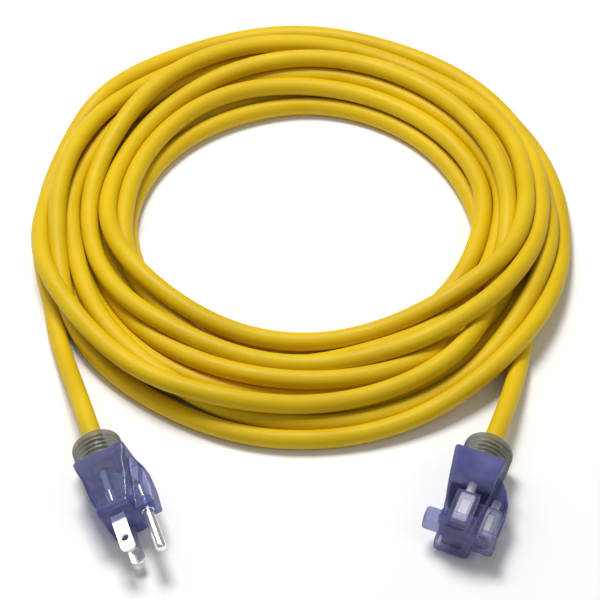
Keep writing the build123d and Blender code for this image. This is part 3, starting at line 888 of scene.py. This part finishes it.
@dataclass
class MouldedBody:
    """An end's clear body with its edges softened as a mould leaves them, and its raised bands.

    The shape is the CAD piece's, joined with the bands into one even skin and then relaxed.
    """

    name: str
    node: str
    frame: EndFrame
    slot: Slot
    bands: tuple[Band, ...] = ()
    skin: float = 0.34
    softening: int = 7

    def build(self, box: Paintbox, nodes: dict[str, bpy.types.Object]) -> bpy.types.Object:
        """The body as one closed skin."""
        source = nodes[self.node]
        mesh = source.data
        mesh.calc_loop_triangles()
        points = np.empty(3 * len(mesh.vertices))
        mesh.vertices.foreach_get("co", points)
        faces = np.empty(3 * len(mesh.loop_triangles), int)
        mesh.loop_triangles.foreach_get("vertices", faces)
        world = np.array(source.matrix_world)
        all_points = [points.reshape(-1, 3) @ world[:3, :3].T + world[:3, 3]]
        all_faces = [faces.reshape(-1, 3)]
        for band in self.bands:
            more, sides = band.build(self.frame)
            all_faces.append(sides + sum(map(len, all_points)))
            all_points.append(more)
        body = new_mesh(self.name, np.concatenate(all_points), np.concatenate(all_faces))
        skin = body.modifiers.new("skin", "REMESH")
        skin.mode, skin.voxel_size, skin.use_smooth_shade = "VOXEL", self.skin * MM, True
        soft = body.modifiers.new("soft", "SMOOTH")
        soft.factor, soft.iterations = 0.5, self.softening
        return box.new_piece(body, self.slot, ROOT_BODY, self.node)


# --------------------------------------------------------------------------- carried-over pieces


@dataclass
class CadDress:
    """Gives every carried-over CAD node the finish of its slot."""

    slots: dict[Slot, tuple[str, ...]] = field(default_factory=lambda: {
        Slot.CORD: ("plug_jacket", "connector_jacket"),
        Slot.VIOLET: ("plug_body",),
        Slot.VIOLET_SOCKET: ("connector_body",),
        Slot.CORE: ("plug_core", "connector_core"),
        Slot.NICKEL: ("line_blade", "neutral_blade", "ground_pin"),
        Slot.CONTACT: ("line_contact", "neutral_contact", "ground_contact"),
        Slot.STEEL: ("upper_latch", "lower_latch", "latch_pins", "latch_spring"),
        Slot.COPPER: ("plug_strands", "connector_strands"),
        Slot.BLACK: ("plug_line_wire", "connector_line_wire"),
        Slot.WHITE: ("plug_neutral_wire", "connector_neutral_wire"),
        Slot.GREEN: ("plug_ground_wire", "connector_ground_wire"),
        Slot.BUTTON: ("release_button",),
    })

    def build(self, box: Paintbox, nodes: dict[str, bpy.types.Object]) -> None:
        """Dresses every node listed."""
        for slot, names in self.slots.items():
            for name in names:
                box.dress(nodes[name], slot)
                LOG.info("%s: %s", name, slot.value)


# --------------------------------------------------------------------------- studio


@dataclass
class Studio:
    """A pale floor, soft light from above and a camera on the object's front."""

    target: tuple[float, float, float] = (0.0032, 0.12506, 0.0)
    distance: float = 1.3
    elevation: float = 48.4
    lens: float = 169.3
    floor_size: float = 8.0
    floor_drop: float = 0.00005
    surround: float = 0.26

    def floor(self) -> None:
        """A wide floor just under the object."""
        half = self.floor_size / 2
        points = np.array([[-half, -half, 0], [half, -half, 0], [half, half, 0], [-half, half, 0]], float)
        floor = new_mesh("floor", points - np.array([0, 0, self.floor_drop]), np.array([[0, 1, 2, 3]]), smooth=False)
        floor.data.materials.append(FloorPaper().make())

    def lamp(self, name: str, where: tuple[float, float, float], size: float, watts: float) -> None:
        """A square soft light that points at the object's middle."""
        data = bpy.data.lights.new(name, "AREA")
        data.shape, data.size, data.energy = "SQUARE", size, watts
        lamp = bpy.data.objects.new(name, data)
        lamp.location = where
        bpy.context.scene.collection.objects.link(lamp)
        aim = np.array(self.target) - np.array(where)
        lamp.rotation_mode = "QUATERNION"
        lamp.rotation_quaternion = self.towards(aim)

    @staticmethod
    def towards(direction: np.ndarray) -> Quaternion:
        """The turn that points an object's -Z along a direction, Y up."""
        return Vector(direction.tolist()).to_track_quat("-Z", "Y")

    def camera(self) -> None:
        """The camera, on a line at the elevation above the target."""
        data = bpy.data.cameras.new("camera")
        data.lens, data.sensor_width, data.clip_start, data.clip_end = self.lens, 36.0, 0.05, 50.0
        camera = bpy.data.objects.new("camera", data)
        tilt = math.radians(self.elevation)
        back = np.array([0.0, -math.cos(tilt), math.sin(tilt)])
        camera.location = (np.array(self.target) + back * self.distance).tolist()
        camera.rotation_mode = "QUATERNION"
        camera.rotation_quaternion = self.towards(-back)
        bpy.context.scene.collection.objects.link(camera)
        bpy.context.scene.camera = camera

    def world(self) -> None:
        """An even pale surround."""
        world = bpy.data.worlds.new("surround")
        world.use_nodes = True
        ground = world.node_tree.nodes["Background"]
        ground.inputs["Color"].default_value = (1.0, 1.0, 1.0, 1)
        ground.inputs["Strength"].default_value = self.surround
        bpy.context.scene.world = world

    def build(self) -> None:
        """The whole studio."""
        bpy.context.scene.view_settings.view_transform = "Standard"
        self.floor()
        self.camera()
        self.world()
        self.lamp("key_light", (-0.25, 0.62, 1.45), 0.55, 21.5)
        self.lamp("fill_light", (1.0, -0.6, 1.3), 0.9, 2.4)
        self.lamp("left_light", (-1.05, 0.85, 1.35), 0.8, 3.2)


# --------------------------------------------------------------------------- main


def main() -> None:
    """Builds every sub-assembly in order."""
    logging.basicConfig(level=logging.INFO, format="%(name)s: %(message)s")
    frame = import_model()
    box = Paintbox()
    Studio().build()
    cord = Cord()
    line = cord.build(box)
    collars = [Collar("plug_ribbed_collar", PLUG_FRAME, "plug_collar", -31.5).build(box),
               Collar("connector_ribbed_collar", CONNECTOR_FRAME, "connector_collar", -40.0).build(box)]
    CadDress().build(box, frame["nodes"])
    plug_body = MouldedBody("plug_moulding", "plug_body", PLUG_FRAME, Slot.VIOLET, (
        Band(((8.0, 5.6), (7.9, 11.75), (-7.2, 11.75), (-7.2, -11.75), (7.9, -11.75), (8.0, -5.6)), -1.7, -4.3, 1.0),
    )).build(box, frame["nodes"])
    MouldedBody("connector_moulding", "connector_body", CONNECTOR_FRAME, Slot.VIOLET_SOCKET, (
        Band(((-7.2, 4.8), (-7.2, 12.0), (7.4, 12.0), (7.4, -12.0), (-7.2, -12.0), (-7.2, -4.8)), -0.25, -3.6),
        Band(((7.4, 5.3), (17.2, 5.3), (17.2, -5.3), (7.4, -5.3)), -0.25, -3.6),
    )).build(box, frame["nodes"])
    CONNECTOR_FRAME.point(-53.0)
    spring = frame["nodes"]["latch_spring"]
    CONNECTOR_FRAME.point(-8.4)
    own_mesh(spring)


if __name__ == "__main__":
    main()
